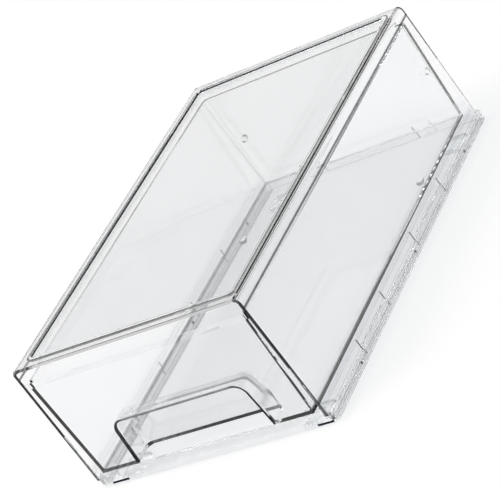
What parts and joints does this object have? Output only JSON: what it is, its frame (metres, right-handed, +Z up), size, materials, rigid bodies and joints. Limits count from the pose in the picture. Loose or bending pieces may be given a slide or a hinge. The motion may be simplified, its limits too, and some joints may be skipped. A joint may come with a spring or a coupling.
{
  "type": "stackable drawer box",
  "caption": "Clear stackable drawer box: transparent cabinet shell on a snap-in base tray, with a full-width pull-out drawer that has a moulded finger pull.",
  "frame": {"origin": "under the middle of the box, on the plane that its feet stand on", "axes": "the drawer opens towards -Y, the box's length lies along Y and its width along X, +Z up"},
  "size_m": [0.209, 0.338, 0.114],
  "materials": {
    "shell_plastic": "clear, polished",
    "tray_plastic": "clear, polished",
    "drawer_plastic": "clear, polished",
    "foot_pad": "translucent, satin"
  },
  "bodies": {
    "cabinet": {"cabinet_shell": "shell_plastic", "base_tray": "tray_plastic", "front_left_foot": "foot_pad", "front_right_foot": "foot_pad", "rear_left_foot": "foot_pad", "rear_right_foot": "foot_pad"},
    "drawer": {"drawer": "drawer_plastic"}
  },
  "joints": [
    {"name": "drawer_slide", "type": "slide", "parent": "cabinet", "child": "drawer", "axis": [0, -1, 0], "range_m": [0, 0.245]}
  ]
}
